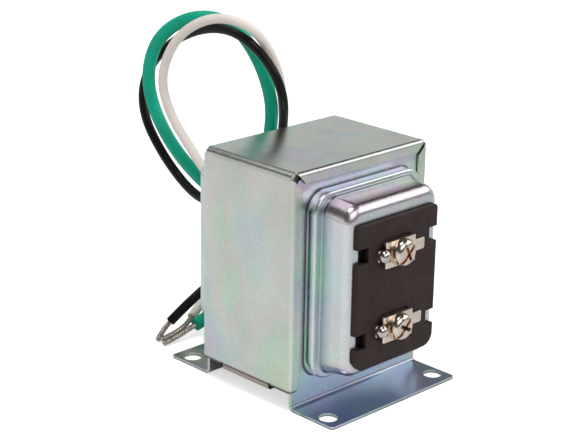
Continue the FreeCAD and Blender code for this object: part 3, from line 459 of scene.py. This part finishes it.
materials = {
    "wrap": zinc_material("zinc_green", WRAP_TINTS, (20, 20, 34), wrap_painted_light),
    "cover": zinc_material("zinc_blue", COVER_TINTS, (24, 24, 36), front_tints_and_painted_light),
    "rear": zinc_material("zinc_rear", WRAP_TINTS, (18, 18, 30), no_film),
    "board": board_material(),
    "nickel": plated_material("nickel_plate", (1.0, 0.90, 0.80), (0.84, 0.73, 0.62), 0.12),
    "solder": plated_material("tin_solder", (0.85, 0.80, 0.74), (0.62, 0.56, 0.50), 0.14),
    "strand": plated_material("tinned_strands", (0.76, 0.70, 0.63), (0.44, 0.39, 0.34), 0.25),
    "black": insulation_material("black_insulation", (0.008, 0.006, 0.006), (0.004, 0.003, 0.003), 0.3),
    "green": insulation_material("green_insulation", (0.0, 0.46, 0.29), (0.0, 0.38, 0.24), 0.32),
    "white": insulation_material("white_insulation", (0.93, 0.85, 0.79), (0.86, 0.78, 0.71), 0.36),
    "core": plain_material("core_sheets", (0.16, 0.15, 0.14), (0.08, 0.075, 0.07), 0.5, (30, 0.6, 30)),
    "copper": plated_material("enamelled_copper", (0.62, 0.28, 0.12), (0.42, 0.16, 0.07), 0.25),
    "bobbin": plain_material("bobbin_plastic", (0.72, 0.68, 0.58), (0.62, 0.58, 0.48), 0.5, 8.0),
    "tape": plain_material("polyester_tape", (0.66, 0.45, 0.08), (0.52, 0.34, 0.05), 0.25, (2.0, 20, 20)),
    "bushing": plain_material("bushing_plastic", (0.03, 0.03, 0.03), (0.016, 0.016, 0.016), 0.45, 3.0),
}

NODE_MATERIALS = {
    "case_wrap": "wrap",
    "front_cover": "cover",
    "rear_cover": "rear",
    "terminal_board": "board",
    "core_e_laminations": "core",
    "core_i_laminations": "core",
    "coil_bobbin": "bobbin",
    "primary_winding": "copper",
    "secondary_winding": "copper",
    "primary_tape": "tape",
    "secondary_tape": "tape",
    "lead_bushing": "bushing",
    "ground_terminal": "nickel",
    "ground_rivet": "nickel",
}
for level in ("upper", "lower"):
    for part in ("terminal_plate", "clamp_washer", "terminal_screw"):
        NODE_MATERIALS[f"{level}_{part}"] = "nickel"
    NODE_MATERIALS[f"{level}_solder_joint"] = "solder"
    NODE_MATERIALS[f"{level}_coil_lead"] = "copper"


# Pieces


# Nodes that are shown by a smooth-shaded mesh. The others, apart from the leads, are inside the case
SMOOTH_NODES = [
    "case_wrap", "front_cover", "rear_cover", "terminal_board", "lead_bushing", "ground_rivet",
    "upper_clamp_washer", "lower_clamp_washer", "upper_terminal_screw", "lower_terminal_screw",
    "upper_terminal_plate", "lower_terminal_plate", "upper_solder_joint", "lower_solder_joint",
]
SHARP_EDGE = math.radians(35)
WELD_DISTANCE = 0.002 * MM


def place_piece(piece, node, material):
    """Puts a piece in the scene in place of a node of the frame."""
    bpy.context.scene.collection.objects.link(piece)
    piece.data.materials.append(material)
    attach(piece, "root")
    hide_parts(node)


def smooth_piece(node, material):
    """Shows a node by a smooth-shaded mesh of its own form."""
    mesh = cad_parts[node].data.copy()
    mesh.name = f"{node}_smooth"
    mesh.materials.clear()
    if mesh.has_custom_normals:
        mesh.attributes.remove(mesh.attributes["custom_normal"])
    form = bmesh.new()
    form.from_mesh(mesh)
    bmesh.ops.remove_doubles(form, verts=form.verts, dist=WELD_DISTANCE)
    for face in form.faces:
        face.smooth = True
    for edge in form.edges:
        edge.smooth = len(edge.link_faces) == 2 and edge.calc_face_angle(0) < SHARP_EDGE
    form.to_mesh(mesh)
    form.free()
    piece = bpy.data.objects.new(f"{node}_dressed", mesh)
    weighted = piece.modifiers.new("flat faces stay flat", "WEIGHTED_NORMAL")
    weighted.keep_sharp = True
    weighted.weight = 100
    place_piece(piece, node, material)


def colour_node(node, material):
    """Gives a node of the frame its material."""
    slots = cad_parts[node].data.materials
    slots.clear()
    slots.append(material)


def route_curve(name, points, radius):
    """A smooth tube whose control points are the route's points, in millimetres."""
    curve = bpy.data.curves.new(name, "CURVE")
    curve.dimensions = "3D"
    spline = curve.splines.new("NURBS")
    spline.points.add(len(points) - 1)
    for target, point in zip(spline.points, points):
        target.co = (*(value * MM for value in point), 1)
    spline.order_u = 3
    spline.use_endpoint_u = True
    spline.resolution_u = 12
    curve.bevel_depth = radius * MM
    curve.bevel_resolution = 5
    curve.use_fill_caps = True
    return bpy.data.objects.new(name, curve)


def line_points(name, points):
    """Points along the smooth line of a route, read from its curve without a bevel."""
    thin = route_curve(name, points, 0)
    mesh = bpy.data.meshes.new_from_object(thin)
    line = [vertex.co.copy() for vertex in mesh.vertices]
    bpy.data.meshes.remove(mesh)
    bpy.data.objects.remove(thin)
    return line


def line_length(points):
    """The length of a line through the points, in metres."""
    return sum((b - a).length for a, b in zip(points, points[1:]))


def twist_strand(spline, line, ring, start):
    """Lays one strand round a line. The ring is its distance from it, and start is a share of a turn."""
    spline.points.add(len(line) - 1)
    for index, point in enumerate(line):
        ahead = line[min(index + 1, len(line) - 1)] - line[max(index - 1, 0)]
        ahead.normalize()
        side = ahead.cross(Vector((0, 0, 1))).normalized()
        above = side.cross(ahead)
        travelled = line_length(line[:index + 1])
        turn = math.tau * (start + travelled / (STRAND_PITCH * MM))
        spot = point + ring * (math.cos(turn) * side + math.sin(turn) * above)
        spline.points[index].co = (*spot, 1)


def strand_bundle(name, points):
    """Tinned strands twisted together along a route: one in the middle and the rest round it."""
    line = line_points(f"{name}_line", points)
    curve = bpy.data.curves.new(name, "CURVE")
    curve.dimensions = "3D"
    curve.bevel_depth = STRAND_RADIUS * MM
    curve.bevel_resolution = 3
    curve.use_fill_caps = True
    for strand in range(STRAND_COUNT):
        ring = 0 if strand == 0 else STRAND_RING * MM
        twist_strand(curve.splines.new("POLY"), line, ring, strand / (STRAND_COUNT - 1))
    return bpy.data.objects.new(name, curve)


def make_leads():
    """The insulated leads and their stripped ends."""
    for name, (diameter, points) in LEADS.items():
        lead = route_curve(f"{name}_lead_insulation", points, diameter / 2)
        place_piece(lead, f"{name}_lead", materials[name])
        bundle = strand_bundle(f"{name}_lead_strands", CONDUCTORS[name])
        place_piece(bundle, f"{name}_conductor", materials["strand"])
        length = line_length(line_points(f"{name}_measure", points))


for node, material in NODE_MATERIALS.items():
    show = smooth_piece if node in SMOOTH_NODES else colour_node
    show(node, materials[material])
make_leads()


# Stage, light and camera


FLOOR_REACH = 3.0
FLOOR_GREY = 0.8
# Light that is added where the camera sees the floor, so that it looks white
FLOOR_LIFT = 0.6
# In reflections the floor darkens towards the front right
FLOOR_SLOPE = (5.0, -5.0, 0.0)
FLOOR_FALLOFF = [(0.0, 0.76), (0.6, 0.56)]
# In reflections the walls are bright low down under a dark roof, which comes lower at the front
WALL_SLOPE = (0.0, -0.3, 1.0)
WALL_LEVELS = [(0.1, 0.64), (0.14, 0.58), (0.2, (0.16, 0.13, 0.11)), (0.4, (0.06, 0.055, 0.05)), (0.9, 0.035)]
MATT_FILL = 0.45


def slope_ramp(tree, place, slope, stops):
    """Colours or greys by how far a place lies along a slope."""
    along = add_node(tree, "ShaderNodeVectorMath", {0: place, 1: slope}, operation="DOT_PRODUCT")
    return ramp(tree, along.outputs["Value"], stops)


def floor_material():
    """Pale and matt, with a falloff in reflections. It looks white to the camera outside the shadow."""
    material, tree, shader = new_material("pale_floor")
    path = add_node(tree, "ShaderNodeLightPath")
    place = add_node(tree, "ShaderNodeTexCoord")
    falloff = slope_ramp(tree, place.outputs["Object"], FLOOR_SLOPE, FLOOR_FALLOFF)
    colour = blend(tree, path.outputs["Is Glossy Ray"], FLOOR_GREY, falloff)
    lift = add_node(
        tree,
        "ShaderNodeMath",
        {0: path.outputs["Is Camera Ray"], 1: FLOOR_LIFT},
        operation="MULTIPLY",
    )
    connect(tree, shader, Base_Color=colour, Roughness=0.9, Specular_IOR_Level=0.0)
    connect(tree, shader, Emission_Color=PLAIN, Emission_Strength=lift.outputs["Value"])
    return material


def make_floor():
    """A flat floor under the feet."""
    mesh = bpy.data.meshes.new("floor")
    corners = [(x * FLOOR_REACH, y * FLOOR_REACH, 0) for x, y in ((-1, -1), (1, -1), (1, 1), (-1, 1))]
    mesh.from_pydata(corners, [], [(0, 1, 2, 3)])
    mesh.materials.append(floor_material())
    floor = bpy.data.objects.new("floor", mesh)
    bpy.context.scene.collection.objects.link(floor)


def make_world():
    """White to the camera, an even fill for matt surfaces, and a studio with a dark roof in reflections."""
    world = bpy.data.worlds.new("studio")
    bpy.context.scene.world = world
    world.use_nodes = True
    tree = world.node_tree
    tree.nodes.clear()
    path = add_node(tree, "ShaderNodeLightPath")
    place = add_node(tree, "ShaderNodeTexCoord")
    walls = slope_ramp(tree, place.outputs["Generated"], WALL_SLOPE, WALL_LEVELS)
    seen = blend(tree, path.outputs["Is Glossy Ray"], MATT_FILL, walls)
    seen = blend(tree, path.outputs["Is Camera Ray"], seen, PLAIN)
    background = add_node(tree, "ShaderNodeBackground", {"Color": seen, "Strength": 1.0})
    output = add_node(tree, "ShaderNodeOutputWorld")
    tree.links.new(background.outputs["Background"], output.inputs["Surface"])


def softbox(name, place, width, height, power):
    """A rectangular lamp that is turned to the middle of the case. Sizes in metres, power in watts."""
    lamp = bpy.data.lights.new(name, "AREA")
    lamp.shape = "RECTANGLE"
    lamp.size = width
    lamp.size_y = height
    lamp.energy = power
    item = bpy.data.objects.new(name, lamp)
    item.location = place
    middle = Vector((0, 0, 0.04))
    item.rotation_euler = (middle - Vector(place)).to_track_quat("-Z", "Y").to_euler()
    bpy.context.scene.collection.objects.link(item)


def make_lights():
    """Soft light from above, from the front, from the right and from behind."""
    softbox("top softbox", (-0.15, 0.0, 1.05), 0.3, 0.3, 2.6)
    softbox("front softbox", (-0.15, -0.75, 0.66), 0.9, 0.7, 2.4)
    softbox("right softbox", (0.64, -0.36, 0.49), 0.85, 0.5, 1.9)
    softbox("back softbox", (0.0, 0.5, 0.84), 0.9, 0.3, 0.85)


def make_camera():
    """The camera at the photograph's angle."""
    back = Vector(
        (
            math.sin(VIEW_AZIMUTH) * math.cos(VIEW_ELEVATION),
            -math.cos(VIEW_AZIMUTH) * math.cos(VIEW_ELEVATION),
            math.sin(VIEW_ELEVATION),
        )
    )
    level = Vector((math.cos(VIEW_AZIMUTH), math.sin(VIEW_AZIMUTH), 0))
    upright = back.cross(level)
    right = math.cos(VIEW_ROLL) * level + math.sin(VIEW_ROLL) * upright
    above = math.cos(VIEW_ROLL) * upright - math.sin(VIEW_ROLL) * level
    lens = bpy.data.cameras.new("camera")
    lens.sensor_width = SENSOR_WIDTH
    lens.lens = VIEW_LENS
    lens.clip_start = 0.01
    camera = bpy.data.objects.new("camera", lens)
    turn = Matrix((right, above, back)).transposed().to_4x4()
    camera.matrix_world = Matrix.Translation(VIEW_TARGET + VIEW_DISTANCE * back) @ turn
    bpy.context.scene.collection.objects.link(camera)
    bpy.context.scene.camera = camera


make_floor()
make_world()
make_lights()
make_camera()
bpy.context.scene.view_settings.view_transform = "Standard"
